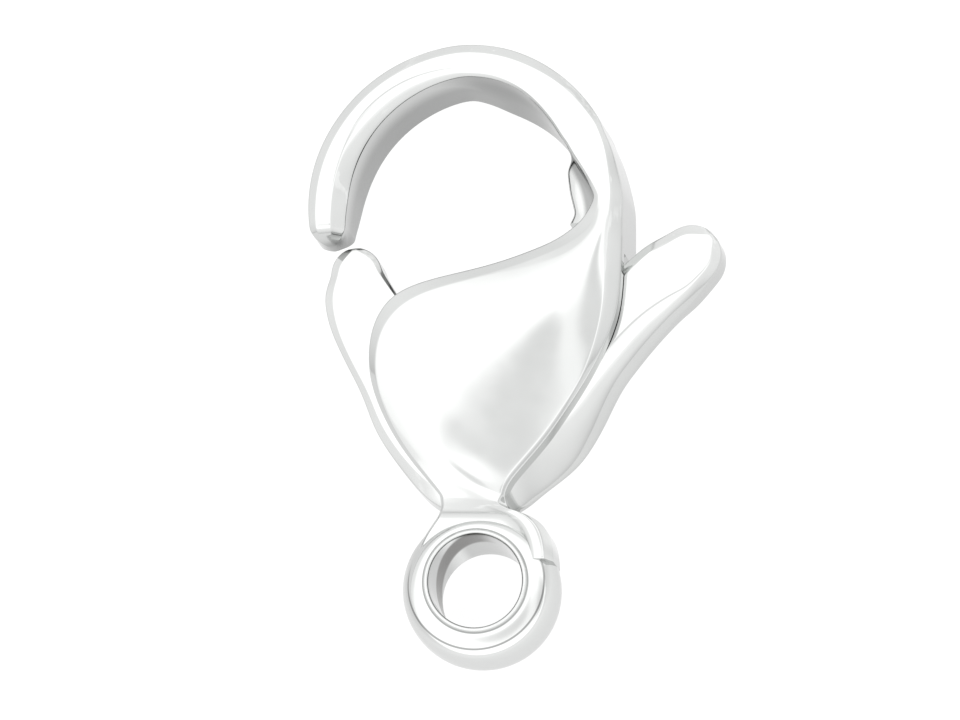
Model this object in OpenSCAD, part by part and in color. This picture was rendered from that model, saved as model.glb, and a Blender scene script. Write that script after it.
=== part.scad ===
// Lobster clasp of cast and polished steel, lying on its back. All sizes are in millimetres.
// The origin is the middle of the eye's bore. +Y points at the hook and +Z out of the front face.

/* [Eye] */
// Diameter of the bore that a jump ring goes through
eye_bore_d = 1.8; // [1.4:0.05:2.1]
// Metal round the bore, out to the widest part of the ring
eye_wall = 0.63; // [0.5:0.01:0.8]
// Thickness of the eye from front to back
eye_t = 2.2; // [1.9:0.05:2.4]
// How far the ring's side leans in from its widest part to its faces
eye_lean = 0.19; // [0.08:0.01:0.3]
// Thickness of the bead round each end of the bore
eye_bead = 0.14; // [0.08:0.01:0.2]

/* [Hook] */
// Height of the hook's centre above the eye's centre
hook_rise = 7.25; // [6.8:0.05:8.2]
// Outer radius of the hook
hook_r = 3.26; // [3:0.02:3.8]
// Width of the hook's bar, seen from the front
hook_bar_w = 0.77; // [0.6:0.01:0.95]
// Thickness of the hook from front to back
hook_t = 2.4; // [2.1:0.05:2.6]
// How far the back of the bar stands into the opening at the shoulder
web_reach = 0.6; // [0.3:0.05:0.8]

/* [Housing] */
// How far the two plates reach to the left of the eye's centre
plate_left = 2.06; // [1.8:0.02:2.4]
// Thickness of each plate at its rim
plate_t = 0.6; // [0.5:0.02:0.8]
// How far the front plate swells above its rim
plate_crown = 0.16; // [0.05:0.01:0.25]
// Width of the slot between the plates
slot_w = 1.3; // [1:0.05:1.5]
// Radius of the polished edges of the hook and the plates
edge_r = 0.17; // [0.08:0.01:0.24]

/* [Trigger] */
// Clearance between the trigger and each plate
trigger_gap = 0.07; // [0.04:0.01:0.12]
// Radius of the trigger's polished edges
trigger_edge_r = 0.26; // [0.12:0.02:0.36]
// Radius of the trigger's heel round the pin
heel_r = 1.62; // [1.4:0.02:1.66]
// Clearance between the heel and the floor of the slot
heel_gap = 0.1; // [0.05:0.01:0.2]
// Radius of the gate's tip
gate_tip_r = 0.5; // [0.4:0.02:0.56]
// Gap between the gate's tip and the hook's tip
gate_gap = 0.18; // [0.1:0.02:0.4]
// How far right of the pin the middle of the thumb lever's round end lies
lever_reach = 4.11; // [3.6:0.05:4.8]
// How far above the pin the middle of the thumb lever's round end lies
lever_rise = 3.38; // [3:0.05:3.8]
// Width of the thumb lever
lever_w = 1.2; // [0.9:0.05:1.4]
// Clearance between the thumb lever and the shoulder over it
lever_gap = 0.13; // [0.08:0.01:0.2]

/* [Pivot] */
// Height of the pin above the top of the eye
pin_rise = 1.47; // [1.3:0.02:1.7]
// Diameter of the pin
pin_d = 0.8; // [0.6:0.05:1]
// Radial clearance of the trigger on the pin
pin_gap = 0.03; // [0.02:0.01:0.08]
// Radial clearance of the pin in the plates
press_gap = 0.01; // [0.005:0.005:0.02]
// Metal left in front of the pin's blind hole
pin_cover = 0.3; // [0.2:0.02:0.4]

/* [Hidden] */
$fn = 64;

eye_r = eye_bore_d / 2 + eye_wall;
hook_at = [0, hook_rise];
pin_at = [0, eye_r + pin_rise];
shoulder_x = hook_r * 0.875;
housing_h = hook_rise - eye_r;
front_z = slot_w / 2 + plate_t;
back_z = -front_z;

// Direction of the gate's tip from the hook's tip, and the directions in which the two arms end
gate_from_hook = -60;
gate_heading = 95;
lever_heading = 41;

// How high the flat of the trigger's faces swells, as a share of its clearance
trigger_swell = 0.3;

// Steps between two rows of a table
hook_steps = 3;
plate_steps = 2;
neck_steps = 2;
trigger_steps = 3;

// Each of these angles is a cut in a round end, from its middle towards its tip
round_end = [28, 55, 78];

// Columns of hook_bar: angle round the hook's centre, outer radius as a share of hook_r,
// width as a share of hook_bar_w, half thickness as a share of hook_t, and how far the back
// of the inner wall stands into the opening as a share of web_reach.
hook_bar = [
    [183.5, 0.995, 0.90, 0.34, 0],
    [174, 1.000, 0.99, 0.42, 0],
    [160, 1.003, 1.00, 0.48, 0],
    [140, 1.003, 0.95, 0.50, 0],
    [120, 1.003, 0.90, 0.50, 0],
    [100, 1.001, 0.84, 0.50, 0],
    [92, 0.998, 0.83, 0.50, 0.12],
    [80, 0.987, 0.85, 0.50, 0.33],
    [68, 0.968, 0.90, 0.50, 0.30],
    [54, 0.943, 1.01, 0.50, 0.12],
    [41, 0.920, 1.07, 0.50, 0.02],
    [35, 0.908, 1.04, 0.50, 0.12],
    [31, 0.895, 1.00, 0.50, 0.40],
    [25, 0.887, 0.95, 0.50, 0.58],
    [16, 0.878, 0.82, 0.50, 0.80],
    [4, 0.880, 0.69, 0.50, 0.95],
];

// Columns of plates: the left end's x as a share of shoulder_x, or of plate_left where it is
// negative, its height as a share of housing_h, then x and height of the right end as shares
// of the same two, the crown as a share of plate_crown, and how far the back stands in past
// the left end as a share of web_reach. Each row is one cut across.
plates = [
    [0.743, 0.962, 1.000, 0.904, 0.3, 0.80],
    [0.576, 0.896, 0.992, 0.799, 0.6, 0.40],
    [0.308, 0.842, 0.968, 0.659, 0.8, 0.10],
    [0.033, 0.802, 0.885, 0.537, 1.0, 0],
    [-0.291, 0.776, 0.757, 0.411, 1.0, 0],
    [-0.583, 0.747, 0.615, 0.301, 1.0, 0],
    [-0.806, 0.702, 0.490, 0.213, 1.0, 0],
    [-0.947, 0.622, 0.387, 0.152, 1.0, 0],
    [-1.000, 0.520, 0.309, 0.108, 1.0, 0],
    [-0.971, 0.410, 0.257, 0.077, 0.9, 0],
    [-0.850, 0.294, 0.228, 0.054, 0.8, 0],
    [-0.680, 0.187, 0.211, 0.034, 0.7, 0],
    [-0.485, 0.096, 0.202, 0.014, 0.5, 0],
];

// Columns of neck: x and height of the left end, x and height of the right end as shares of
// eye_r, and half thickness as a share of eye_t.
neck = [
    [-0.44, 1.11, 0.385, 0.97, 0.55],
    [-0.46, 1.01, 0.42, 0.93, 0.515],
    [-0.57, 0.90, 0.58, 0.88, 0.485],
    [-0.745, 0.77, 0.75, 0.76, 0.46],
    [-0.865, 0.52, 0.85, 0.52, 0.43],
    [-0.935, 0.28, 0.92, 0.28, 0.36],
];

// Columns of lever: x and height above the pin of its upper edge, then of its lower edge, as shares
// of lever_reach and lever_rise. Columns of heel: angle of the outer edge round the pin, then x and
// height above the pin of the inner edge as shares of heel_r. Columns of gate: x and height above
// the pin of its inner edge, then of its outer edge, as shares of the gate tip's own.
lever = [
    [0.860, 1.105, 1.010, 0.758],
    [0.770, 1.042, 0.920, 0.668],
    [0.640, 0.900, 0.826, 0.550],
    [0.505, 0.745, 0.732, 0.413],
    [0.385, 0.615, 0.640, 0.260],
    [0.270, 0.535, 0.543, 0.030],
    [0.190, 0.495, 0.440, -0.160],
];
heel = [
    [-42, 0.32, 0.980],
    [-66, 0.21, 0.950],
    [-94, 0.14, 0.942],
    [-122, 0.09, 0.940],
    [-150, 0.04, 0.945],
];
gate = [
    [-0.02, 0.488, 0.824, 0.000],
    [0.06, 0.503, 0.960, 0.258],
    [0.20, 0.545, 1.114, 0.490],
    [0.42, 0.650, 1.220, 0.680],
    [0.62, 0.810, 1.258, 0.855],
];

hook_end = hook_bar[0];
hook_tip_r = hook_bar_w * hook_end[2] / 2;
hook_tip_at = hook_at + polar(hook_r * hook_end[1] - hook_tip_r, hook_end[0]);
gate_tip_at = hook_tip_at + polar(hook_tip_r + gate_gap + gate_tip_r, gate_from_hook);
lever_end_at = pin_at + [lever_reach, lever_rise];

function polar(r, a) = r * [cos(a), sin(a)];

function reverse(list) = [for (i = [len(list) - 1:-1:0]) list[i]];

// One point of a smooth curve through b and c, from b at t = 0 to c at t = 1
function curve(a, b, c, d, t) =
    b + (c - a) * t / 2 + (2 * a - 5 * b + 4 * c - d) * t * t / 2 + (3 * b - a - 3 * c + d) * t * t * t / 2;

// Rows of a table with more rows put smoothly between them
function smooth_rows(rows, steps) = let (last = len(rows) - 1) [
    for (i = [0:last - 1], k = [0:steps - 1])
        curve(rows[max(i - 1, 0)], rows[i], rows[i + 1], rows[min(i + 2, last)], k / steps),
    rows[last],
];

// One cut across a casting, from its inner edge a to its outer edge b and from the heights
// faces[0] in front to faces[1] at the back. crowns is how far the middles of the two faces swell,
// rounds the radii of the inner and outer edges. The back half of the inner wall stands in by web.
function cut(a, b, faces, crowns, rounds, web = 0) = let (
    front = faces[0],
    back = faces[1],
    r_in = rounds[0],
    r_out = rounds[1],
    w = norm(b - a),
    dir = (b - a) / w,
    bend = 1 - sqrt(0.5),
    ring = [
        [0, front - r_in],
        [r_in * bend, front - r_in * bend],
        [r_in, front],
        [w * 0.3, front + crowns[0] * 0.84],
        [w * 0.5, front + crowns[0]],
        [w * 0.7, front + crowns[0] * 0.84],
        [w - r_out, front],
        [w - r_out * bend, front - r_out * bend],
        [w, front - r_out],
        [w, back + r_out],
        [w - r_out * bend, back + r_out * bend],
        [w - r_out, back],
        [w * 0.5, back - crowns[1]],
        [r_in - web, back],
        [r_in * bend - web, back + r_in * bend],
        [-web, back + r_in],
        [-web, back * 0.45],
        [0, back * 0.05],
    ]
) [for (p = ring) [a[0] + dir[0] * p[0], a[1] + dir[1] * p[0], p[1]]];

// The bar's inner and outer edge for one row of hook_bar
function bar_inner(row) = hook_at + polar(hook_r * row[1] - hook_bar_w * row[2], row[0]);
function bar_outer(row) = hook_at + polar(hook_r * row[1], row[0]);
function plate_x(share) = share * (share < 0 ? plate_left : shoulder_x);
function plate_at(x_share, h_share) = [plate_x(x_share), eye_r + housing_h * h_share];

// Skin over a row of cuts, all with the same number of points. Triangles close each end at its pole.
module skin(cuts, poles) {
    n = len(cuts[0]);
    last = (len(cuts) - 1) * n;
    pole = last + n;
    next = [for (k = [0:n - 1]) (k + 1) % n];
    start = [for (k = [0:n - 1]) [next[k], k, pole]];
    end = [for (k = [0:n - 1]) [last + k, last + next[k], pole + 1]];
    sides = [
        for (i = [0:n:last - n], k = [0:n - 1])
            each [[i + k, i + next[k], i + k + n], [i + next[k], i + next[k] + n, i + k + n]],
    ];
    polyhedron(concat([for (c = cuts) each c], poles), concat(start, sides, end), convexity = 8);
}

// The hook's bar, the shoulder and the two plates as one unbroken form, from the tip to the neck
module casting() {
    bar_rows = smooth_rows(hook_bar, hook_steps);
    plate_rows = smooth_rows(plates, plate_steps);
    tip_turn = hook_tip_r / (hook_r - hook_tip_r) * 180 / PI;
    tip_mid = hook_r * hook_end[1] - hook_tip_r;
    tip_cuts = [
        for (lean = reverse(round_end))
            let (
                a = hook_end[0] + tip_turn * sin(lean),
                half = hook_tip_r * cos(lean),
                depth = hook_t * hook_end[3] - hook_tip_r * (1 - cos(lean)),
                r = min(edge_r * 1.4, half * 0.8)
            )
            cut(hook_at + polar(tip_mid - half, a), hook_at + polar(tip_mid + half, a),
                [depth, -depth], [0, 0], [r, r])
    ];
    bar_cuts = [
        for (row = bar_rows)
            let (
                depth = hook_t * row[3],
                r_in = edge_r * (row[0] > 90 ? 1.4 : 1),
                r_out = edge_r * (row[0] > 41 ? 1 : 1.3)
            )
            cut(bar_inner(row), bar_outer(row), [depth, -depth], [plate_crown * 0.2, 0],
                [r_in, r_out], web_reach * row[4])
    ];
    plate_cuts = [
        for (row = plate_rows)
            cut(plate_at(row[0], row[1]), plate_at(row[2], row[3]), [front_z, back_z],
                [plate_crown * row[4], 0], [edge_r, edge_r], web_reach * row[5])
    ];
    neck_cuts = [
        for (row = smooth_rows(neck, neck_steps))
            cut(eye_r * [row[0], row[1]], eye_r * [row[2], row[3]], eye_t * [row[4], -row[4]],
                [0, 0], [edge_r, edge_r])
    ];
    tip_pole = concat(hook_at + polar(tip_mid, hook_end[0] + tip_turn), [0]);
    neck_pole = [0, eye_r * neck[len(neck) - 1][1], 0];
    skin(concat(tip_cuts, bar_cuts, plate_cuts, neck_cuts), [tip_pole, neck_pole]);
}

// The eye's ring with a bead round each end of its bore, left solid inside for the bore to cut
module ring() {
    lean_r = (pow(eye_t / 2, 2) + pow(eye_lean, 2)) / (2 * eye_lean);
    bead_in = eye_bead * 0.35;
    rotate_extrude()
        union() {
            intersection() {
                translate([eye_bore_d / 2 - eye_bead, -eye_t / 2]) square([eye_wall + eye_bead * 2, eye_t]);
                translate([eye_r - lean_r, 0]) circle(lean_r, $fn = 128);
            }
            for (side = [-1, 1])
                translate([eye_bore_d / 2 + bead_in, side * (eye_t / 2 - bead_in)])
                    circle(eye_bead / 2);
        }
}

// The slot between the plates, open on both sides and over the plates' upper edge
module slot() {
    upper_a = lever_at(lever[2][0], lever[2][1]);
    upper_b = lever_at(lever[1][0], lever[1][1]);
    along = (upper_b - upper_a) / norm(upper_b - upper_a);
    out = [-along[1], along[0]] * lever_gap;
    shoulder_low = upper_a + out;
    shoulder_out = upper_b + out + along * lever_w;
    translate([0, 0, -slot_w / 2])
        linear_extrude(slot_w)
            union() {
                translate(pin_at) circle(heel_r + heel_gap);
                polygon([
                    [-plate_left * 1.7, pin_at[1] - heel_r * 0.25],
                    [lever_reach * 1.3, pin_at[1] - heel_r * 0.25],
                    [lever_reach * 1.3, shoulder_out[1]],
                    shoulder_out,
                    shoulder_low,
                    plate_at(0.72, 0.99),
                    plate_at(0.40, 0.99),
                    plate_at(-0.60, 0.79),
                    plate_at(-1.70, 0.77),
                ]);
            }
}

// The hook, the plates, the neck and the eye, one casting
module body() {
    pin_top = front_z - pin_cover;
    color("gainsboro")
        difference() {
            union() {
                casting();
                ring();
            }
            slot();
            cylinder(h = eye_t * 2, d = eye_bore_d, center = true);
            translate([pin_at[0], pin_at[1], back_z - 1])
                cylinder(h = pin_top - back_z + 1, r = pin_d / 2 + press_gap);
        }
}

// The inner and outer edge for one row of each of the trigger's tables
function lever_at(x_share, h_share) = pin_at + [lever_reach * x_share, lever_rise * h_share];
function lever_edges(row) = concat(lever_at(row[0], row[1]), lever_at(row[2], row[3]));
function heel_edges(row) = concat(pin_at + heel_r * [row[1], row[2]], pin_at + polar(heel_r, row[0]));
function gate_at(x_share, h_share) = let (span = gate_tip_at - pin_at)
    pin_at + [span[0] * x_share, span[1] * h_share];
function gate_edges(row) = concat(gate_at(row[0], row[1]), gate_at(row[2], row[3]));

// The widest edges of an arm's round end
function end_edges(middle, r, heading) = let (side = polar(r, heading + 90))
    concat(middle - side, middle + side);

// A cut across one of the trigger's arms, with half its thickness
function arm_cut(edges, half) = let (
    inner = [edges[0], edges[1]],
    outer = [edges[2], edges[3]],
    r = min(trigger_edge_r, norm(outer - inner) * 0.42),
    swell = trigger_gap * trigger_swell
) cut(inner, outer, [half, -half], [swell, swell], [r, r]);

// Cuts of an arm's round end of radius r. Each lean is an angle from its middle along the heading.
function arm_end(middle, r, heading, leans, half) = [
    for (lean = leans)
        let (
            past_flat = max(r * abs(sin(lean)) - r + trigger_edge_r, 0),
            drop = trigger_edge_r - sqrt(pow(trigger_edge_r, 2) - pow(past_flat, 2))
        )
        arm_cut(end_edges(middle + polar(r * sin(lean), heading), r * cos(lean), heading), half - drop)
];

// Gate and thumb lever, one casting that turns on the pin
module trigger() {
    half = slot_w / 2 - trigger_gap;
    lever_r = lever_w / 2;
    lever_rows = [for (row = lever) lever_edges(row)];
    heel_rows = [for (row = heel) heel_edges(row)];
    gate_rows = [for (row = gate) gate_edges(row)];
    from_lever = lever_heading + 180;
    lever_end = end_edges(lever_end_at, lever_r, from_lever);
    gate_end = end_edges(gate_tip_at, gate_tip_r, gate_heading);
    rows = smooth_rows(concat([lever_end], lever_rows, heel_rows, gate_rows, [gate_end]), trigger_steps);
    color("whitesmoke")
        difference() {
            skin(
                concat(
                    arm_end(lever_end_at, lever_r, from_lever, -reverse(round_end), half),
                    [for (row = rows) arm_cut(row, half)],
                    arm_end(gate_tip_at, gate_tip_r, gate_heading, round_end, half)
                ),
                [
                    concat(lever_end_at + polar(lever_r, lever_heading), [0]),
                    concat(gate_tip_at + polar(gate_tip_r, gate_heading), [0]),
                ]
            );
            translate([pin_at[0], pin_at[1], 0])
                cylinder(h = slot_w * 2, r = pin_d / 2 + pin_gap, center = true);
        }
}

// The pin, pressed in from the back and stopped by the blind hole in the front plate
module pivot_pin() {
    pin_top = front_z - pin_cover - press_gap;
    color("silver")
        translate([pin_at[0], pin_at[1], back_z])
            cylinder(h = pin_top - back_z, d = pin_d);
}

body();
trigger();
pivot_pin();
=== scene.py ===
# Lobster clasp of polished steel, lying on its back on a pale table.
# The pieces are drawn in millimetres and brought down to metres when each one is finished.
import math

import bmesh
import bpy
from mathutils import Matrix, Vector


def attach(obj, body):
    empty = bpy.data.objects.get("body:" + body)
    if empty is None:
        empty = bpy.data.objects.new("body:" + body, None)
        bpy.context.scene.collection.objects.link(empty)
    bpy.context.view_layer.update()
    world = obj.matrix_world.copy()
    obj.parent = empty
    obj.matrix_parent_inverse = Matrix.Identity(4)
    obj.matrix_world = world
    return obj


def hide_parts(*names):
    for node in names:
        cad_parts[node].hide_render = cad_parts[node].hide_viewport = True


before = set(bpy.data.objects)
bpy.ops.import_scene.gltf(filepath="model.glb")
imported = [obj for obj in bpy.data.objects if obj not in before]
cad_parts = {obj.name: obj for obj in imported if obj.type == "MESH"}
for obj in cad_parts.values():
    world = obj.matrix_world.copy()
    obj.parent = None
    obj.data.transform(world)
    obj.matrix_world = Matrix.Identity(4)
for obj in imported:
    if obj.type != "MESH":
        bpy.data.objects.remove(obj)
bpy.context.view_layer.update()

MILLIMETRE = 0.001


# Sizes in millimetres, the same as the solid model's

EYE_R = 1.53
HOOK_AT = Vector((0.0, 7.25))
HOOK_R = 3.26
BAR_W = 0.77
HOOK_T = 2.4
WEB = 0.6
PLATE_LEFT = 2.06
PLATE_CROWN = 0.16
FRONT_Z = 1.25
SLOT_HALF = 0.65
PIN_AT = Vector((0.0, 3.0))
PIN_R = 0.4
PIN_TOP = 0.95
HEEL_R = 1.62
GATE_TIP_R = 0.5
GATE_GAP = 0.18
GATE_BEARING = -60.0
GATE_HEADING = 95.0
LEVER_END = Vector((4.11, 6.38))
LEVER_R = 0.6
LEVER_HEADING = 41.0
LEVER_SPAN = (4.11, 3.38)
TRIGGER_HALF = 0.58
SHOULDER_X = HOOK_R * 0.875
HOUSING_H = HOOK_AT.y - EYE_R

# Room left round the moving and pressed parts, the hole that the eye is joined into, and how
# far a tool that cuts right through reaches to the front and the back
HEEL_GAP = 0.1
LEVER_GAP = 0.13
PIN_PLAY = 0.03
PRESS_GAP = 0.01
EYE_SEAT_R = 1.16
TOOL_REACH = 2.0

# Sides of the round tools and of the pin, and how many times the castings are subdivided
EYE_SIDES = 96
HEEL_SIDES = 128
PIN_SIDES = 64
CASTING_LEVELS = 2

# Degrees from the middle of a round end at which it is cut across
ROUND_END = (22.0, 42.0, 60.0, 74.0, 84.0)
ROUND_NOSE = (9.0, 19.0, 30.0, 42.0, 54.0, 66.0, 77.0, 86.0)


def polar(r, angle):
    return Vector((r * math.cos(math.radians(angle)), r * math.sin(math.radians(angle))))


# Hook's tip: its angle round the hook, outer radius and width as shares, and how far its back
# is raised
TIP_ANGLE = 183.5
TIP_OUT = 0.995
TIP_W = 0.90
TIP_LIFT = 0.32
TIP_R = BAR_W * TIP_W / 2
HOOK_TIP = HOOK_AT + polar(HOOK_R * TIP_OUT - TIP_R, TIP_ANGLE)
GATE_TIP = HOOK_TIP + polar(TIP_R + GATE_GAP + GATE_TIP_R, GATE_BEARING)

# Each row crosses the hook's bar: angle round the hook, outer radius, width and half thickness
# as shares, then how far the back stands into the opening. The next six are the inner edge's
# width, depth and roundness and the outer edge's, and the last how far the back is raised.
HOOK_ROWS = [
    (TIP_ANGLE, TIP_OUT, TIP_W, 0.44, 0.00, 0.27, 0.20, 0.0, 0.14, 0.08, 0.0, TIP_LIFT),
    (174, 1.000, 0.98, 0.475, 0.00, 0.29, 0.22, 0.0, 0.16, 0.09, 0.0, 0.10),
    (160, 1.003, 0.99, 0.50, 0.00, 0.30, 0.24, -0.3, 0.17, 0.09, 0.0, 0.0),
    (140, 1.003, 0.95, 0.50, 0.00, 0.37, 0.19, -1.0, 0.17, 0.09, 0.0, 0.0),
    (120, 1.003, 0.90, 0.50, 0.00, 0.32, 0.15, -1.0, 0.17, 0.09, 0.0, 0.0),
    (100, 1.001, 0.84, 0.50, 0.00, 0.20, 0.09, -1.0, 0.17, 0.09, 0.0, 0.0),
    (92, 0.998, 0.83, 0.50, 0.12, 0.13, 0.06, -1.0, 0.17, 0.09, 0.0, 0.0),
    (80, 0.987, 0.85, 0.50, 0.33, 0.07, 0.05, -0.5, 0.18, 0.09, 0.0, 0.0),
    (68, 0.968, 0.90, 0.50, 0.30, 0.05, 0.05, 0.0, 0.18, 0.10, 0.0, 0.0),
    (54, 0.943, 1.01, 0.50, 0.12, 0.05, 0.05, 0.0, 0.15, 0.10, 0.0, 0.0),
    (41, 0.920, 1.07, 0.50, 0.02, 0.05, 0.05, 0.0, 0.13, 0.10, 0.0, 0.0),
    (35, 0.908, 1.04, 0.50, 0.12, 0.05, 0.05, 0.0, 0.11, 0.07, 0.0, 0.0),
    (31, 0.895, 1.00, 0.50, 0.40, 0.05, 0.05, 0.0, 0.10, 0.065, 0.0, 0.0),
    (25, 0.887, 0.95, 0.50, 0.58, 0.05, 0.05, 0.0, 0.12, 0.085, 0.0, 0.0),
    (16, 0.878, 0.82, 0.50, 0.80, 0.05, 0.05, 0.1, 0.17, 0.15, 0.1, 0.0),
    (4, 0.880, 0.69, 0.50, 0.95, 0.10, 0.06, 0.2, 0.23, 0.18, 0.1, 0.0),
]
# Each row crosses the plates: left x and height, right x and height, crown and standing-in
# back as shares, then the two edges as above, then where the crown is highest
PLATE_ROWS = [
    (0.743, 0.962, 1.000, 0.904, 0.3, 0.80, 0.22, 0.10, 0.0, 0.27, 0.20, 0.1, 0.50),
    (0.576, 0.896, 0.992, 0.799, 0.6, 0.40, 0.26, 0.12, 0.0, 0.30, 0.22, 0.1, 0.50),
    (0.308, 0.842, 0.968, 0.659, 0.8, 0.10, 0.27, 0.12, 0.0, 0.28, 0.22, 0.1, 0.50),
    (0.033, 0.802, 0.885, 0.537, 1.0, 0.00, 0.27, 0.12, 0.0, 0.18, 0.16, 0.1, 0.50),
    (-0.291, 0.776, 0.757, 0.411, 1.0, 0.00, 0.27, 0.12, 0.0, 0.08, 0.12, 0.3, 0.46),
    (-0.583, 0.747, 0.615, 0.301, 1.0, 0.00, 0.27, 0.12, 0.0, 0.07, 0.08, 0.3, 0.42),
    (-0.806, 0.702, 0.490, 0.213, 1.0, 0.00, 0.27, 0.13, 0.0, 0.07, 0.08, 0.3, 0.38),
    (-0.947, 0.622, 0.387, 0.152, 1.0, 0.00, 0.22, 0.12, 0.0, 0.07, 0.08, 0.3, 0.34),
    (-1.000, 0.520, 0.309, 0.108, 1.0, 0.00, 0.18, 0.11, 0.0, 0.07, 0.08, 0.3, 0.31),
    (-0.971, 0.410, 0.257, 0.077, 0.9, 0.00, 0.16, 0.11, 0.0, 0.07, 0.08, 0.3, 0.30),
    (-0.850, 0.294, 0.228, 0.054, 0.8, 0.00, 0.14, 0.10, 0.0, 0.07, 0.08, 0.3, 0.32),
    (-0.680, 0.187, 0.211, 0.034, 0.7, 0.00, 0.12, 0.09, 0.0, 0.07, 0.08, 0.3, 0.38),
    (-0.485, 0.096, 0.202, 0.014, 0.4, 0.00, 0.09, 0.07, 0.2, 0.07, 0.08, 0.3, 0.45),
]
# Each row crosses the neck: left x and height, right x and height as shares of the eye's
# radius, then how high the front stands, its strip along the right, and the back, in millimetres
NECK_ROWS = [
    (-0.44, 1.11, 0.385, 0.97, 1.22, 1.22, -1.20),
    (-0.43, 1.02, 0.42, 0.94, 1.17, 1.18, -1.12),
    (-0.43, 0.95, 0.51, 0.90, 1.12, 1.14, -1.04),
    (-0.45, 0.90, 0.62, 0.87, 1.08, 1.11, -0.96),
    (-0.478, 0.85, 0.74, 0.81, 1.00, 1.10, -0.84),
    (-0.58, 0.72, 0.87, 0.68, 0.93, 1.08, -0.66),
    (-0.70, 0.545, 0.945, 0.47, 0.84, 1.06, -0.50),
    (-0.78, 0.30, 0.962, 0.25, 0.78, 1.05, -0.45),
]
# Upper and lower edge of the thumb lever as shares of its span, then the two edges, then how
# wide and how deep the back's edges are rounded
LEVER_ROWS = [
    (0.860, 1.105, 1.016, 0.750, 0.18, 0.09, 0.0, 0.24, 0.26, 0.6, 0.22, 0.34),
    (0.770, 1.042, 0.931, 0.652, 0.17, 0.09, 0.0, 0.36, 0.38, 1.0, 0.26, 0.44),
    (0.640, 0.900, 0.839, 0.532, 0.16, 0.09, 0.0, 0.48, 0.46, 1.0, 0.28, 0.48),
    (0.505, 0.745, 0.745, 0.396, 0.14, 0.09, 0.0, 0.54, 0.50, 1.0, 0.28, 0.48),
    (0.385, 0.615, 0.653, 0.242, 0.12, 0.09, 0.0, 0.58, 0.52, 0.9, 0.28, 0.48),
    (0.270, 0.535, 0.556, 0.012, 0.10, 0.08, 0.0, 0.66, 0.58, 0.6, 0.28, 0.44),
    (0.190, 0.495, 0.449, -0.172, 0.10, 0.08, 0.0, 0.74, 0.64, 0.3, 0.26, 0.38),
]
# Angle of the heel's outer edge round the pin and its inner edge as shares of its radius
HEEL_ROWS = [
    (-42, 0.32, 0.980, 0.10, 0.08, 0.0, 0.78, 0.66, 0.1, 0.25, 0.36),
    (-66, 0.21, 0.950, 0.10, 0.08, 0.0, 0.74, 0.50, 0.1, 0.25, 0.36),
    (-94, 0.14, 0.942, 0.10, 0.08, 0.0, 0.56, 0.26, 0.1, 0.25, 0.34),
    (-122, 0.09, 0.940, 0.10, 0.08, 0.0, 0.34, 0.13, 0.1, 0.20, 0.24),
    (-150, 0.04, 0.945, 0.10, 0.08, 0.0, 0.20, 0.12, 0.1, 0.17, 0.13),
]
# Inner and outer edge of the gate as shares of the way from the pin to its tip
GATE_ROWS = [
    (-0.02, 0.488, 0.824, 0.000, 0.06, 0.06, 0.2, 0.16, 0.09, 0.0, 0.17, 0.13),
    (0.06, 0.503, 0.960, 0.258, 0.05, 0.06, 0.2, 0.13, 0.08, 0.0, 0.17, 0.13),
    (0.20, 0.545, 1.114, 0.490, 0.05, 0.06, 0.2, 0.13, 0.08, 0.0, 0.17, 0.13),
    (0.42, 0.650, 1.220, 0.680, 0.05, 0.06, 0.2, 0.15, 0.08, 0.0, 0.17, 0.13),
    (0.62, 0.810, 1.258, 0.855, 0.06, 0.06, 0.1, 0.16, 0.08, 0.0, 0.17, 0.13),
]

# Corners of an edge as shares of its width and depth: a flat bevel, a full round, and a round
# that runs into the face but meets the wall crisply
FLAT_EDGE = ((0.13, 0.87), (0.87, 0.13))
FULL_EDGE = ((0.134, 0.50), (0.50, 0.134))
FACE_EDGE = ((0.25, 0.56), (0.62, 0.145))
# How far the wall and the face hold on beside an edge, at least and for each width of a full round
EDGE_HOLD = 0.022
ROUND_HOLD = 0.06
# Width, depth and roundness of the edges at the back
BACK_EDGE = (0.17, 0.13, 0.2)
LEVER_BACK_ROUND = 0.8
# The inner wall from the back up, as shares of how far it stands in and of the back's height: as
# a step under the shoulder, and as a slope round the hook
STEPPED_WALL = ((1.0, 0.17), (0.97, 0.135), (0.02, 0.04), (0.0, 0.0))
SLOPED_WALL = ((0.85, 0.55), (0.6, 0.0), (0.32, -0.35), (0.1, -0.6))
# Angle round the hook above which the step turns into the slope, and over how many degrees
SLOPE_FROM = 38.0
SLOPE_OVER = 6.0
# The neck: the width of its raised strip, where the strip's side starts and ends beside its
# line, the two edges, and how far before the end the last outline is repeated to keep it crisp
STRIP_W = 0.32
STRIP_FOOT = 0.05
STRIP_TOP = 0.03
NECK_LEFT_EDGE = (0.06, 0.05, 0.1)
NECK_RIGHT_EDGE = (0.14, 0.36, 0.2)
NECK_HOLD = Vector((0, 0.02, 0))
# The most of a cut that its front edges and one back edge take, and the wall's hold at the back
FRONT_FIT = 0.84
BACK_FIT = 0.4
BACK_HOLD = 0.02
# Round ends: the depth that an edge keeps, how much of the end its face covers, how wide the
# edges are past that, and how the back of the hook's nose rises to its front
EDGE_LEFT = 0.02
FACE_REACH = 0.98
PAST_FACE = 0.8
NOSE_RISE = 0.70
NOSE_CURVE = 1.5
# How far from the end its face turns down, and how deep
HOOK_NOSE = (0.30, 0.75)
LEVER_NOSE = (0.17, 0.10)
GATE_NOSE = (0.12, 0.08)
# The two edges and the back's rounding at the lever's end and at the gate's tip
LEVER_END_EDGES = (0.18, 0.09, 0.0, 0.18, 0.14, 0.2, 0.20, 0.28)
GATE_TIP_EDGES = (0.10, 0.08, 0.1, 0.15, 0.08, 0.0, 0.17, 0.13)
TRIGGER_CROWN = 0.004


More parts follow.
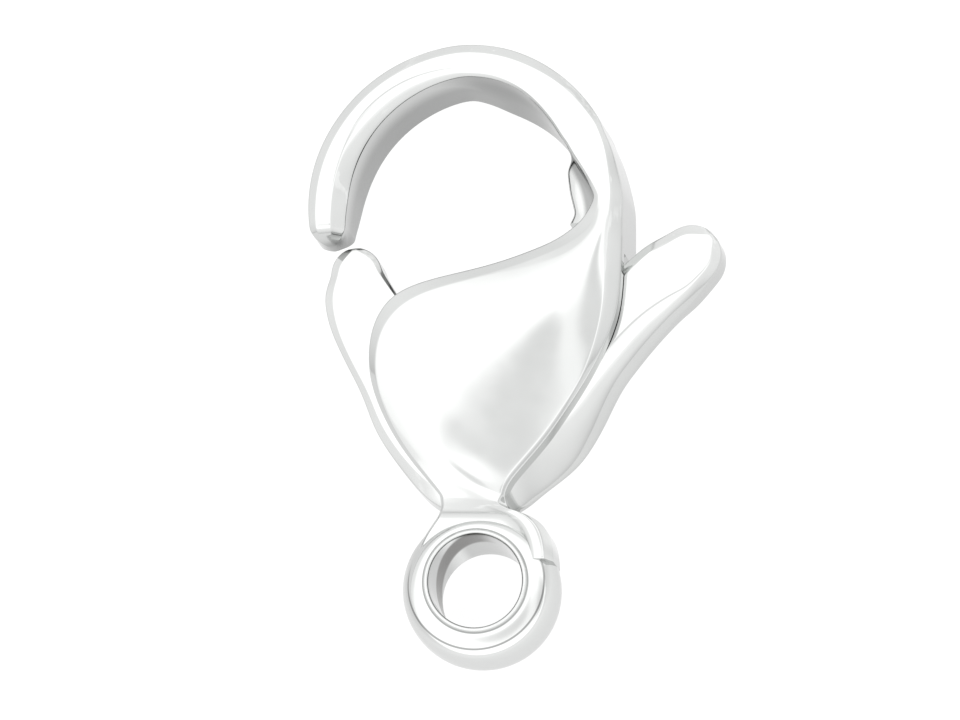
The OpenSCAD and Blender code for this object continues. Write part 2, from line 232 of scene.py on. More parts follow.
def smooth_rows(rows, steps):
    """Rows with more rows put smoothly between them."""
    out = []
    last = len(rows) - 1
    for i in range(last):
        before, here, there, after = rows[max(i - 1, 0)], rows[i], rows[i + 1], rows[min(i + 2, last)]
        for k in range(steps):
            t = k / steps
            out.append(tuple(
                q + (r - p) * t / 2 + (2 * p - 5 * q + 4 * r - s) * t * t / 2
                + (3 * q - p - 3 * r + s) * t ** 3 / 2
                for p, q, r, s in zip(before, here, there, after)))
    out.append(rows[last])
    return out


def edge_points(width, depth, bend):
    """An edge from wall to face: how far in from the wall, and how far below the face. A bend of
    0 is a flat bevel, 1 a full round, and -1 rounds into the face but meets the wall crisply."""
    hold = min(EDGE_HOLD + ROUND_HOLD * max(bend, 0.0) * width, width * 0.5)
    rounded = FULL_EDGE if bend > 0 else FACE_EDGE
    between = [
        (width * (f[0] + (r[0] - f[0]) * abs(bend)), depth * (f[1] + (r[1] - f[1]) * abs(bend)))
        for f, r in zip(FLAT_EDGE, rounded)]
    return [(0.0, depth + hold), (0.0, depth)] + between + [(width, 0.0), (width + hold, 0.0)]


def cut_across(inner_at, outer_at, front, back, crown, inner, outer, web=0.0, top=0.5, slope=0.0,
               under=BACK_EDGE):
    """One cut across a casting from its inner edge to its outer edge, as closed points. front
    may be two heights, the second one for a raised strip along the outer edge. top is where the
    crown is highest, as a share of the way across. The back stands in by web, on a slope or a step."""
    wide = (outer_at - inner_at).length
    along = (outer_at - inner_at) / wide
    fit = min(1.0, FRONT_FIT * wide / (inner[0] + outer[0]))
    inner = (inner[0] * fit, inner[1], inner[2])
    outer = (outer[0] * fit, outer[1], outer[2])
    left, right = inner[0], wide - outer[0]
    mid = left + (right - left) * top
    strip = right - STRIP_W
    if isinstance(front, tuple):
        low, high = front
        between = (left + (strip - left) * 0.5, strip - STRIP_FOOT, strip + STRIP_TOP)
    else:
        low = high = front
        between = tuple(left + (right - left) * share for share in (0.25, 0.5, 0.75))

    def face(x):
        half = mid - left if x < mid else right - mid
        rise = min(max((x - strip + STRIP_FOOT) / (STRIP_FOOT + STRIP_TOP), 0.0), 1.0)
        return low + (high - low) * rise + crown * max(1.0 - ((x - mid) / half) ** 2, 0.0)

    outline = [(x, face(x) - down) for x, down in edge_points(*inner)]
    outline += [(x, face(x)) for x in between]
    outline += [(wide - x, face(wide - x) - down) for x, down in reversed(edge_points(*outer))]
    rim = (min(under[0], wide * BACK_FIT), min(under[1], wide * BACK_FIT), under[2])
    outline.append((wide, (outline[-1][1] + back + rim[1] + BACK_HOLD) / 2))
    outline += [(wide - x, back + down) for x, down in edge_points(*rim)]
    outline.append((wide / 2, back))
    outline += [(x - web, back + down) for x, down in reversed(edge_points(*rim))]
    for step, ramp in zip(STEPPED_WALL, SLOPED_WALL):
        outline.append((-web * (step[0] + (ramp[0] - step[0]) * slope),
                        back * (step[1] + (ramp[1] - step[1]) * slope)))
    return [Vector((inner_at.x + along.x * x, inner_at.y + along.y * x, z)) for x, z in outline]


def round_end(middle, radius, heading, leans, half, inner, outer, tip, under=BACK_EDGE, nose=False):
    """Cuts of a bar's round end, whose bevel runs on round the tip, or with a round nose."""
    cuts = []
    shift = (inner[0] - outer[0]) / 2
    face = radius - (inner[0] + outer[0]) / 2
    for lean in leans:
        turn = math.radians(lean)
        out = abs(radius * math.sin(turn))
        wide = radius * math.cos(turn)
        reach = out / (radius - tip[0])
        past = max(out - (radius - tip[0]), 0.0) / tip[0]
        low = half - tip[1] * (1.0 - math.sqrt(max(1.0 - past * past, 0.0)))
        back = -low
        if nose:
            back = TIP_LIFT - half + NOSE_RISE * (out / radius) ** NOSE_CURVE
            fade = wide / radius * (1.0 - past)
            widths = (inner[0] * wide / radius, outer[0] * wide / radius)
            depths = (inner[1] * fade + EDGE_LEFT, outer[1] * fade + EDGE_LEFT)
        elif reach < FACE_REACH:
            low = half
            back = -half
            share = math.sqrt(1.0 - reach * reach)
            widths = (wide + shift - face * share, wide - shift - face * share)
            depths = (inner[1], outer[1])
        else:
            widths = (wide * PAST_FACE, wide * PAST_FACE)
            depths = (inner[1] * (1 - past) + EDGE_LEFT, outer[1] * (1 - past) + EDGE_LEFT)
        at = middle + polar(radius * math.sin(turn), heading)
        across = polar(wide, heading + 90.0)
        cuts.append(cut_across(
            at - across, at + across, low, back, 0.0, (widths[0], depths[0], inner[2]),
            (widths[1], depths[1], outer[2]), under=under))
    return cuts


# Working by hand: what is selected, moved, cut and joined

# Radius of a new ring before its points are moved onto an outline
BAR_RING_R = 0.3
TOOL_RING_R = 1.0


def start_clean():
    if bpy.context.object and bpy.context.object.mode != "OBJECT":
        bpy.ops.object.mode_set(mode="OBJECT")
    bpy.ops.object.select_all(action="DESELECT")


def edit_mesh(piece):
    mesh = bmesh.from_edit_mesh(piece.data)
    mesh.verts.ensure_lookup_table()
    mesh.faces.ensure_lookup_table()
    return mesh


def settle():
    """Puts the place and turn of a new primitive into its mesh."""
    bpy.ops.object.transform_apply(location=True, rotation=True, scale=True)
    return bpy.context.object


def new_ring(corners, at, radius=BAR_RING_R, fill="NGON"):
    """A ring of points to be moved onto an outline, opened for editing."""
    start_clean()
    bpy.ops.mesh.primitive_circle_add(vertices=corners, radius=radius, fill_type=fill, location=at)
    ring = settle()
    bpy.ops.object.mode_set(mode="EDIT")
    bpy.ops.mesh.select_mode(type="VERT")
    bpy.ops.mesh.select_all(action="DESELECT")
    return ring, edit_mesh(ring)


def move_point(vert, to):
    vert.select_set(True)
    bpy.ops.transform.translate(value=to - vert.co)
    vert.select_set(False)


def face_outwards():
    bpy.ops.mesh.select_all(action="SELECT")
    bpy.ops.mesh.normals_make_consistent(inside=False)
    bpy.ops.object.mode_set(mode="OBJECT")


def draw_out(name, cuts):
    """A bar drawn out of one face: extruded from cut to cut, each point put on its outline."""
    count = len(cuts[0])
    piece, mesh = new_ring(count, sum(cuts[0], Vector()) / count)
    piece.name = name
    ring = list(range(count))
    for k, to in zip(ring, cuts[0]):
        move_point(mesh.verts[k], to)
    cap = mesh.faces[0]
    for before, cut in zip(cuts, cuts[1:]):
        here = sum(before, Vector()) / count
        there = sum(cut, Vector()) / count
        bpy.ops.mesh.select_all(action="DESELECT")
        cap.select_set(True)
        bpy.ops.mesh.extrude_region_move(TRANSFORM_OT_translate={"value": there - here})
        mesh = edit_mesh(piece)
        cap = next(face for face in mesh.faces if face.select)
        fresh = {vert.index for vert in cap.verts}
        drawn_from = {}
        for vert in cap.verts:
            for link in vert.link_edges:
                other = link.other_vert(vert)
                if other.index not in fresh:
                    drawn_from[other.index] = vert.index
        bpy.ops.mesh.select_all(action="DESELECT")
        ring = [drawn_from[k] for k in ring]
        for k, to in zip(ring, cut):
            move_point(mesh.verts[k], to)
    face_outwards()
    return piece


def choose(piece):
    start_clean()
    piece.select_set(True)
    bpy.context.view_layer.objects.active = piece


def smooth_by_subdivision(piece, levels):
    choose(piece)
    bpy.ops.object.modifier_add(type="SUBSURF")
    smoothing = piece.modifiers[-1]
    smoothing.levels = levels
    smoothing.render_levels = levels
    bpy.ops.object.modifier_apply(modifier=smoothing.name)


def combine(piece, tool, operation):
    """Cuts tool out of piece, or joins it on, and clears it away."""
    choose(piece)
    bpy.ops.object.modifier_add(type="BOOLEAN")
    cutting = piece.modifiers[-1]
    cutting.operation = operation
    cutting.solver = "EXACT"
    cutting.object = tool
    bpy.ops.object.modifier_apply(modifier=cutting.name)
    choose(tool)
    bpy.ops.object.delete()


def round_tool(radius, low, high, at, sides):
    start_clean()
    bpy.ops.mesh.primitive_cylinder_add(
        vertices=sides, radius=radius, depth=high - low, location=(at.x, at.y, (low + high) / 2))
    return settle()


def flat_tool(outline, low, high):
    """A block with this outline, from one height to another."""
    tool, mesh = new_ring(len(outline), (0, 0, low), TOOL_RING_R)
    for k, to in enumerate(outline):
        move_point(mesh.verts[k], Vector((to.x, to.y, low)))
    bpy.ops.mesh.select_all(action="SELECT")
    bpy.ops.mesh.extrude_region_move(TRANSFORM_OT_translate={"value": (0, 0, high - low)})
    face_outwards()
    return tool


def to_metres(piece):
    choose(piece)
    bpy.ops.transform.resize(value=(MILLIMETRE,) * 3, center_override=(0, 0, 0))
    settle()


# Eye: a profile turned round the bore, with a bead round each end. Its rows are radius and
# height above the middle.

EYE_PROFILE = [
    (0.900, 0.00), (0.900, 0.60), (0.900, 0.98), (0.903, 1.06), (0.922, 1.105), (0.958, 1.122),
    (0.995, 1.108), (1.018, 1.068), (1.026, 1.036), (1.040, 1.034), (1.080, 1.038), (1.180, 1.026),
    (1.280, 1.000), (1.306, 0.990), (1.320, 0.976), (1.326, 0.944), (1.346, 0.930), (1.400, 0.780),
    (1.470, 0.540), (1.520, 0.250),
]
# Steps of the turn, where the profile's ring starts out, and how close points are to be merged
EYE_STEPS = 96
PROFILE_AT = (1.2, 0, 0)
SEAM_WELD = 0.001
# How far the outer rim of the front face is set off the bore's middle, then the height and the
# radius at which that starts, each with the distance over which it grows
EYE_LEAN = Vector((0.05, -0.13))
LEAN_HEIGHT = (0.25, 0.7)
LEAN_RADIUS = (1.1, 0.2)
# How close to a row of the profile a point lies that belongs to it
SAME_HEIGHT = 0.0002
SAME_RADIUS = 0.0005


def turned_eye():
    profile = EYE_PROFILE + [(EYE_R, 0.0)] + [(r, -z) for r, z in reversed(EYE_PROFILE[1:])]
    eye, mesh = new_ring(len(profile), PROFILE_AT, fill="NOTHING")
    for k, (r, z) in enumerate(profile):
        move_point(mesh.verts[k], Vector((r, 0.0, z)))
    bpy.ops.mesh.select_all(action="SELECT")
    bpy.ops.mesh.spin(steps=EYE_STEPS, angle=math.tau, center=(0, 0, 0), axis=(0, 0, 1))
    bpy.ops.mesh.select_all(action="SELECT")
    bpy.ops.mesh.remove_doubles(threshold=SEAM_WELD)
    bpy.ops.mesh.normals_make_consistent(inside=False)
    mesh = edit_mesh(eye)
    for r, z in EYE_PROFILE:
        lean = min((z - LEAN_HEIGHT[0]) / LEAN_HEIGHT[1], (r - LEAN_RADIUS[0]) / LEAN_RADIUS[1], 1.0)
        if lean > 0:
            bpy.ops.mesh.select_all(action="DESELECT")
            for vert in mesh.verts:
                vert.select_set(abs(vert.co.z - z) < SAME_HEIGHT
                                and abs(vert.co.xy.length - r) < SAME_RADIUS)
            bpy.ops.transform.translate(value=(EYE_LEAN.x * lean, EYE_LEAN.y * lean, 0))
    bpy.ops.object.mode_set(mode="OBJECT")
    smooth_by_subdivision(eye, levels=1)
    return eye


# Casting: the hook, the shoulder, the two plates and the neck, in one bar from tip to eye

# Corners of the slot past the shoulder and round the left of the plates, in the plates' shares,
# and how far it runs out to the left, to the right and below the pin, as shares
SLOT_CORNERS = ((0.72, 0.99), (0.40, 0.99), (-0.60, 0.79), (-1.70, 0.77))
SLOT_LEFT = 1.7
SLOT_RIGHT = 1.3
SLOT_FOOT = 0.25


def plate_at(x_share, h_share):
    return Vector((x_share * (PLATE_LEFT if x_share < 0 else SHOULDER_X), EYE_R + HOUSING_H * h_share))


def lever_at(x_share, h_share):
    return PIN_AT + Vector((LEVER_SPAN[0] * x_share, LEVER_SPAN[1] * h_share))


def gate_at(x_share, h_share):
    span = GATE_TIP - PIN_AT
    return PIN_AT + Vector((span.x * x_share, span.y * h_share))


def casting_cuts():
    first = HOOK_ROWS[0]
    cuts = round_end(HOOK_TIP, TIP_R, TIP_ANGLE - 90.0, [-lean for lean in reversed(ROUND_NOSE)],
                     HOOK_T * first[3], first[5:8], first[8:11], HOOK_NOSE, nose=True)
    for row in smooth_rows(HOOK_ROWS, steps=3):
        angle, out, width, half, web = row[:5]
        depth = HOOK_T * half
        cuts.append(cut_across(
            HOOK_AT + polar(HOOK_R * out - BAR_W * width, angle), HOOK_AT + polar(HOOK_R * out, angle),
            depth, -depth + row[11], 0.0, row[5:8], row[8:11], WEB * web,
            slope=min(max((angle - SLOPE_FROM) / SLOPE_OVER, 0.0), 1.0)))
    for row in smooth_rows(PLATE_ROWS, steps=2):
        cuts.append(cut_across(
            plate_at(*row[0:2]), plate_at(*row[2:4]), FRONT_Z, -FRONT_Z, PLATE_CROWN * row[4],
            row[6:9], row[9:12], WEB * row[5], row[12]))
    neck = smooth_rows(NECK_ROWS, steps=2)
    for row in neck + [neck[-1]]:
        cuts.append(cut_across(
            Vector(row[0:2]) * EYE_R, Vector(row[2:4]) * EYE_R, row[4:6], row[6], 0.0,
            NECK_LEFT_EDGE, NECK_RIGHT_EDGE))
    cuts[-2] = [point + NECK_HOLD for point in cuts[-1]]
    return cuts


def slot_outline():
    upper_left, upper_right = lever_at(*LEVER_ROWS[2][:2]), lever_at(*LEVER_ROWS[1][:2])
    along = (upper_right - upper_left).normalized()
    out = Vector((-along.y, along.x)) * LEVER_GAP
    foot = PIN_AT.y - HEEL_R * SLOT_FOOT
    right = LEVER_SPAN[0] * SLOT_RIGHT
    past_lever = upper_right + out + along * LEVER_R * 2
    return [
        Vector((-PLATE_LEFT * SLOT_LEFT, foot)), Vector((right, foot)), Vector((right, past_lever.y)),
        past_lever, upper_left + out,
    ] + [plate_at(*corner) for corner in SLOT_CORNERS]


def make_casting():
    casting = draw_out("clasp_casting", casting_cuts())
    smooth_by_subdivision(casting, CASTING_LEVELS)
    combine(casting, round_tool(EYE_SEAT_R, -TOOL_REACH, TOOL_REACH, Vector((0, 0)), EYE_SIDES),
            "DIFFERENCE")
    combine(casting, turned_eye(), "UNION")
    combine(casting, round_tool(HEEL_R + HEEL_GAP, -SLOT_HALF, SLOT_HALF, PIN_AT, HEEL_SIDES),
            "DIFFERENCE")
    combine(casting, flat_tool(slot_outline(), -SLOT_HALF, SLOT_HALF), "DIFFERENCE")
    combine(casting,
            round_tool(PIN_R + PRESS_GAP, -TOOL_REACH, PIN_TOP + PRESS_GAP, PIN_AT, PIN_SIDES),
            "DIFFERENCE")
    return casting


# Trigger: the thumb lever, the heel round the pin and the gate, in one bar from end to tip

def trigger_row(upper, lower, edges):
    return (upper.x, upper.y, lower.x, lower.y) + edges


def trigger_cuts():
    end_side = polar(1.0, LEVER_HEADING + 180.0 + 90.0) * LEVER_R
    tip_side = polar(1.0, GATE_HEADING + 90.0) * GATE_TIP_R
    rows = [trigger_row(LEVER_END - end_side, LEVER_END + end_side, LEVER_END_EDGES)]
    rows += [trigger_row(lever_at(*row[:2]), lever_at(*row[2:4]), row[4:]) for row in LEVER_ROWS]
    rows += [trigger_row(PIN_AT + HEEL_R * Vector(row[1:3]), PIN_AT + polar(HEEL_R, row[0]), row[3:])
             for row in HEEL_ROWS]
    rows += [trigger_row(gate_at(*row[:2]), gate_at(*row[2:4]), row[4:]) for row in GATE_ROWS]
    rows.append(trigger_row(GATE_TIP - tip_side, GATE_TIP + tip_side, GATE_TIP_EDGES))

    cuts = round_end(LEVER_END, LEVER_R, LEVER_HEADING + 180.0, [-lean for lean in reversed(ROUND_END)],
                     TRIGGER_HALF, LEVER_END_EDGES[0:3], LEVER_END_EDGES[3:6], LEVER_NOSE,
                     LEVER_END_EDGES[6:8] + (LEVER_BACK_ROUND,))
    for row in smooth_rows(rows, steps=3):
        cuts.append(cut_across(
            Vector(row[0:2]), Vector(row[2:4]), TRIGGER_HALF, -TRIGGER_HALF, TRIGGER_CROWN,
            row[4:7], row[7:10], under=row[10:12] + (LEVER_BACK_ROUND,)))
    cuts += round_end(GATE_TIP, GATE_TIP_R, GATE_HEADING, ROUND_END, TRIGGER_HALF,
                      GATE_TIP_EDGES[0:3], GATE_TIP_EDGES[3:6], GATE_NOSE)
    return cuts


def make_trigger():
    trigger = draw_out("clasp_trigger", trigger_cuts())
    smooth_by_subdivision(trigger, CASTING_LEVELS)
    combine(trigger, round_tool(PIN_R + PIN_PLAY, -TOOL_REACH, TOOL_REACH, PIN_AT, PIN_SIDES),
            "DIFFERENCE")
    return trigger


# Pin: a plain rod with its two ends broken by a small bevel

PIN_BEVEL = 0.04
BEVEL_STEPS = 3
END_FACING = 0.9


def make_pin():
    pin = round_tool(PIN_R, -FRONT_Z, PIN_TOP, PIN_AT, PIN_SIDES)
    pin.name = "clasp_pin"
    bpy.ops.object.mode_set(mode="EDIT")
    bpy.ops.mesh.select_mode(type="FACE")
    bpy.ops.mesh.select_all(action="DESELECT")
    for face in edit_mesh(pin).faces:
        face.select_set(abs(face.normal.z) > END_FACING)
    bpy.ops.mesh.bevel(offset=PIN_BEVEL, segments=BEVEL_STEPS, affect="EDGES")
    bpy.ops.object.mode_set(mode="OBJECT")
    return pin


# Finishes. Each place is a list of limits, and a spot lies in it as far as it meets them all. A
# limit is a measure of the spot, its value where the place ends and its value well inside. x, y
# and z are in millimetres, nx, ny and nz are the way that the spot faces, lean is how squarely
# it faces front or back, and pointed is how far the surface juts out there.

WORN_EDGE = (("lean", 0.94, 0.86), ("lean", 0.10, 0.30), ("pointed", 0.56, 0.70))
# Painted highlight: the ring's outer wall below the bore is made lighter in colour
RING_WALL_PAINTED_HIGHLIGHT = (("from_bore", 1.36, 1.44), ("y", 0.7, 0.3))
# Painted shade: a dark line in the crease round the ring's front
RING_CREASE_PAINTED_SHADE = (
    ("from_bore", 1.300, 1.316), ("from_bore", 1.352, 1.336), ("z", 0.5, 0.6), ("y", 0.5, 0.0))
# Painted reflection: a dark band across the bore, also made a little rougher
BORE_PAINTED_REFLECTION = (("from_bore", 0.94, 0.92), ("off_painted_reflection", 0.55, 0.35), ("x", 0.40, 0.0))
# Painted highlight: the side walls facing right, between the neck and the plates, are made lighter in
# colour
PLATES_SIDE_PAINTED_HIGHLIGHT = (("y", 4.8, 4.2), ("y", 0.5, 0.8), ("lean", 0.62, 0.12), ("nx", 0.30, 0.55))
# Painted shade: the inner walls round the hook's opening are made darker, the most low down and on the
# right
PAINTED_SHADE_OPENING_WALL = (("from_hook", 2.92, 2.86), ("outward", -0.2, -0.6), ("lean", 0.62, 0.12))
PAINTED_SHADE_OPENING_LOW = PAINTED_SHADE_OPENING_WALL + (("z", 0.95, -0.1),)
PAINTED_SHADE_OPENING_RIGHT = PAINTED_SHADE_OPENING_WALL + (("x", -1.0, 0.1),)
# Painted shade on the step under the shoulder and on the end beside the hook's tip
SHOULDER_STEP_PAINTED_SHADE = (("from_hook", 1.93, 2.05), ("z", 0.3, 0.0), ("x", 1.2, 1.5), ("nz", 0.1, 0.4))
HOOK_TIP_END_PAINTED_SHADE = (
    ("y", 7.02, 6.84), ("x", -2.2, -2.4), ("x", -3.25, -2.75), ("y", 6.5, 6.6), ("z", 0.85, 0.5))
# Painted highlight: the lever's lower edge is made lighter in colour over a dark reflection
LEVER_PAINTED_HIGHLIGHT = (
    ("ny", 0.15, 0.30), ("nx", 0.10, -0.15), ("z", 0.30, 0.42), ("x", 2.60, 2.80), ("x", 3.43, 3.31))

# Height of the painted dark reflection band across the bore, as shares of x and y, less a fixed height
PAINTED_REFLECTION_SLOPE = (0.416, 1.028)
PAINTED_REFLECTION_DROP = 0.176

# Each patch: its tone as shares of the steel's red, green and blue, how much duller it is, and
# its places. Painted highlights come first, on the ring's outer wall and the plates' side walls,
# then painted shade in the ring's crease and round the hook's opening, and a painted dark
# reflection across the bore.
CASTING_PAINTED_LIGHT = (
    ((1.20, 1.20, 1.20), 0.0, (RING_WALL_PAINTED_HIGHLIGHT,)),
    ((1.50, 1.50, 1.50), 0.0, (PLATES_SIDE_PAINTED_HIGHLIGHT,)),
    ((0.42, 0.42, 0.42), 0.0, (RING_CREASE_PAINTED_SHADE,)),
    ((0.50, 0.50, 0.50), 0.08, (PAINTED_SHADE_OPENING_LOW, PAINTED_SHADE_OPENING_RIGHT, SHOULDER_STEP_PAINTED_SHADE, HOOK_TIP_END_PAINTED_SHADE)),
    ((0.22, 0.21, 0.20), 0.08, (BORE_PAINTED_REFLECTION,)),
)
# Painted highlight along the lever's lower edge
TRIGGER_PAINTED_HIGHLIGHT = (((1.50, 1.50, 1.50), 0.0, (LEVER_PAINTED_HIGHLIGHT,)),)

# Clouds in the polish, polishing hairs and the slow swell of the surface: size and detail
CLOUDS = (1.1, 4.0)
HAIRS = (4.0, 3.0)
SWELL = (0.9, 1.0)
HAIR_STRETCH = (1.0, 22.0, 1.0)
HAIR_TURN = 0.5
# Tones of the dark clouds, the light ones and worn edges, then how dull the clouds and hairs are
DARK_CLOUD = 0.95
LIGHT_CLOUD = 1.05
WORN_TONE = 1.12
CLOUD_LIMITS = (0.3, 0.7)
CLOUD_DULL = (0.7, 1.3)
HAIR_LIMITS = (0.58, 0.75)
HAIR_DULL = 0.3
GRAZING_TINT = (0.8, 0.8, 0.8, 1.0)

# Colour, roughness, height of the swell and depth of the scratches, in metres, on the polished
# castings and on the ground pin
CASTING_TONE = (0.60, 0.608, 0.602)
TRIGGER_TONE = (0.605, 0.612, 0.606)
PIN_TONE = (0.62, 0.625, 0.62)
POLISHED = {"rough": 0.09, "wave": 0.000003, "scratch": 0.0000001}
GROUND = {"rough": 0.28, "wave": 0.000002, "scratch": 0.000001}

# Sockets of a Mix node when it mixes colours
MIX_SHARE, MIX_UNDER, MIX_OVER, MIX_OUT = 0, 6, 7, 2


def reckon(tree, operation, first, second=0):
    """A Math node; first and second are sockets or plain numbers."""
    node = tree.nodes.new("ShaderNodeMath")
    node.operation = operation
    for socket, value in zip(node.inputs, (first, second)):
        if isinstance(value, (int, float)):
            socket.default_value = value
        else:
            tree.links.new(value, socket)
    return node.outputs[0]


def ease(tree, value, low, high, to_low=0.0, to_high=1.0):
    """A Map Range node that eases from one end to the other."""
    node = tree.nodes.new("ShaderNodeMapRange")
    node.interpolation_type = "SMOOTHSTEP"
    if low > high:
        low, high, to_low, to_high = high, low, to_high, to_low
    for name, level in (("From Min", low), ("From Max", high), ("To Min", to_low), ("To Max", to_high)):
        node.inputs[name].default_value = level
    tree.links.new(value, node.inputs["Value"])
    return node.outputs["Result"]


def lay_over(tree, share, under, over):
    """One tone laid over another where share is 1."""
    node = tree.nodes.new("ShaderNodeMix")
    node.data_type = "RGBA"
    for at, value in ((MIX_SHARE, share), (MIX_UNDER, under), (MIX_OVER, over)):
        if isinstance(value, tuple):
            node.inputs[at].default_value = value
        else:
            tree.links.new(value, node.inputs[at])
    return node.outputs[MIX_OUT]


def mottle(tree, place, size, detail):
    node = tree.nodes.new("ShaderNodeTexNoise")
    node.inputs["Scale"].default_value = size
    node.inputs["Detail"].default_value = detail
    tree.links.new(place, node.inputs["Vector"])
    return node.outputs["Fac"]


def raised(tree, height, by, over=None):
    """A Bump node, laid over another one's surface if there is one."""
    node = tree.nodes.new("ShaderNodeBump")
    node.inputs["Strength"].default_value = 1.0
    node.inputs["Distance"].default_value = by
    tree.links.new(height, node.inputs["Height"])
    if over is not None:
        tree.links.new(over, node.inputs["Normal"])
    return node.outputs["Normal"]


def in_millimetres(tree, stretch=(1, 1, 1), turn=0.0):
    place = tree.nodes.new("ShaderNodeTexCoord")
    node = tree.nodes.new("ShaderNodeMapping")
    node.inputs["Scale"].default_value = tuple(share / MILLIMETRE for share in stretch)
    node.inputs["Rotation"].default_value = (0, 0, turn)
    tree.links.new(place.outputs["Object"], node.inputs["Vector"])
    return node.outputs["Vector"]


def split(tree, vector, names):
    node = tree.nodes.new("ShaderNodeSeparateXYZ")
    tree.links.new(vector, node.inputs["Vector"])
    return dict(zip(names, node.outputs))


def steel_spot(tree):
    """Measures of a spot on any of the pieces."""
    spot = split(tree, in_millimetres(tree), ("x", "y", "z"))
    facing = tree.nodes.new("ShaderNodeTexCoord")
    spot.update(split(tree, facing.outputs["Normal"], ("nx", "ny", "nz")))
    spot["lean"] = reckon(tree, "ABSOLUTE", spot["nz"])
    spot["pointed"] = tree.nodes.new("ShaderNodeNewGeometry").outputs["Pointiness"]
    return spot


def casting_spot(tree):
    """The same, with how far the spot is from the bore's middle, the hook's middle and the painted dark
    reflection band in the bore, and how squarely it faces away from the hook's middle."""
    spot = steel_spot(tree)
    x, y, z = spot["x"], spot["y"], spot["z"]
    rise = reckon(tree, "SUBTRACT", y, HOOK_AT.y)
    for name, up in (("from_bore", y), ("from_hook", rise)):
        spot[name] = reckon(tree, "SQRT", reckon(
            tree, "ADD", reckon(tree, "MULTIPLY", x, x), reckon(tree, "MULTIPLY", up, up)))
    spot["outward"] = reckon(tree, "DIVIDE", reckon(
        tree, "ADD", reckon(tree, "MULTIPLY", x, spot["nx"]),
        reckon(tree, "MULTIPLY", rise, spot["ny"])), spot["from_hook"])
    level = reckon(tree, "ADD", reckon(tree, "MULTIPLY", x, PAINTED_REFLECTION_SLOPE[0]), reckon(
        tree, "SUBTRACT", reckon(tree, "MULTIPLY", y, PAINTED_REFLECTION_SLOPE[1]), PAINTED_REFLECTION_DROP))
    spot["off_painted_reflection"] = reckon(tree, "ABSOLUTE", reckon(tree, "SUBTRACT", z, level))
    return spot


def within(tree, spot, places):
    """How far the spot lies in one of these places: 0 outside, 1 where all its limits are full."""
    share = None
    for limits in places:
        inside = None
        for measure, none, full in limits:
            eased = ease(tree, spot[measure], none, full)
            inside = eased if inside is None else reckon(tree, "MULTIPLY", inside, eased)
        share = inside if share is None else reckon(tree, "MAXIMUM", share, inside)
    return share


def steel(name, colour, rough, wave, scratch, measured=steel_spot, patches=()):
    """Polished steel with a cloudy polish, a slight waviness, fine scratches, bright edges, and
    patches of painted highlight and painted shade, some of them also rougher."""
    material = bpy.data.materials.new(name)
    material.use_nodes = True
    tree = material.node_tree
    shader = tree.nodes["Principled BSDF"]
    shader.inputs["Metallic"].default_value = 1.0
    shader.inputs["Specular Tint"].default_value = GRAZING_TINT

    def toned(shares):
        return tuple(min(c * share, 1.0) for c, share in zip(colour, shares)) + (1.0,)

    place = in_millimetres(tree)
    spot = measured(tree)
    cloud = mottle(tree, place, *CLOUDS)
    hairs = mottle(tree, in_millimetres(tree, HAIR_STRETCH, HAIR_TURN), *HAIRS)
    tone = lay_over(tree, cloud, toned((DARK_CLOUD,) * 3), toned((LIGHT_CLOUD,) * 3))
    tone = lay_over(tree, within(tree, spot, (WORN_EDGE,)), tone, toned((WORN_TONE,) * 3))
    dull = ease(tree, cloud, *CLOUD_LIMITS, *(rough * share for share in CLOUD_DULL))
    dull = reckon(tree, "ADD", dull, ease(tree, hairs, *HAIR_LIMITS, 0.0, rough * HAIR_DULL))
    # Patches of painted highlight and painted shade laid over the tone, some also made rougher
    for shares, duller, places in patches:
        inside = within(tree, spot, places)
        tone = lay_over(tree, inside, tone, toned(shares))
        if duller:
            dull = reckon(tree, "ADD", dull, reckon(tree, "MULTIPLY", inside, duller))
    tree.links.new(tone, shader.inputs["Base Color"])
    tree.links.new(dull, shader.inputs["Roughness"])
    swell = raised(tree, mottle(tree, place, *SWELL), wave)
    tree.links.new(raised(tree, hairs, scratch, swell), shader.inputs["Normal"])
    return material


casting_steel = steel("polished_casting_steel", CASTING_TONE, **POLISHED,
                      measured=casting_spot, patches=CASTING_PAINTED_LIGHT)
trigger_steel = steel("polished_trigger_steel", TRIGGER_TONE, **POLISHED, patches=TRIGGER_PAINTED_HIGHLIGHT)
pin_steel = steel("ground_pin_steel", PIN_TONE, **GROUND)

CRISP_EDGE = math.radians(38)

for make, body, node, slot, finish in (
        (make_casting, "casting", "body", "polished_steel", casting_steel),
        (make_trigger, "trigger", "trigger", "trigger_steel", trigger_steel),
        (make_pin, "casting", "pivot_pin", "pin_steel", pin_steel)):
    piece = make()
    to_metres(piece)
    bpy.ops.object.shade_smooth_by_angle(angle=CRISP_EDGE)
    piece.data.materials.clear()
    piece.data.materials.append(finish)
    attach(piece, body)
    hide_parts(node)


# Table: pale paper just under the clasp's back, which glows by itself so that it stays white

TABLE_SIZE = 0.6
TABLE_Z = -0.00127
PAPER_TONE = (0.12, 0.12, 0.12, 1)
PAPER_GLOW = 0.95
PAPER_ROUGH = 0.9

start_clean()
bpy.ops.mesh.primitive_plane_add(size=TABLE_SIZE, location=(0, 0, TABLE_Z))
table = settle()
table.name = "table"
paper = bpy.data.materials.new("pale_paper")
paper.use_nodes = True
sheet = paper.node_tree.nodes["Principled BSDF"]
sheet.inputs["Base Color"].default_value = PAPER_TONE
sheet.inputs["Roughness"].default_value = PAPER_ROUGH
sheet.inputs["Specular IOR Level"].default_value = 0.0
sheet.inputs["Emission Color"].default_value = (1, 1, 1, 1)
sheet.inputs["Emission Strength"].default_value = PAPER_GLOW
table.data.materials.append(paper)


# Light: an even pale room, dark along the foot of its far wall, with four soft grey places
# overhead, and a broad soft box

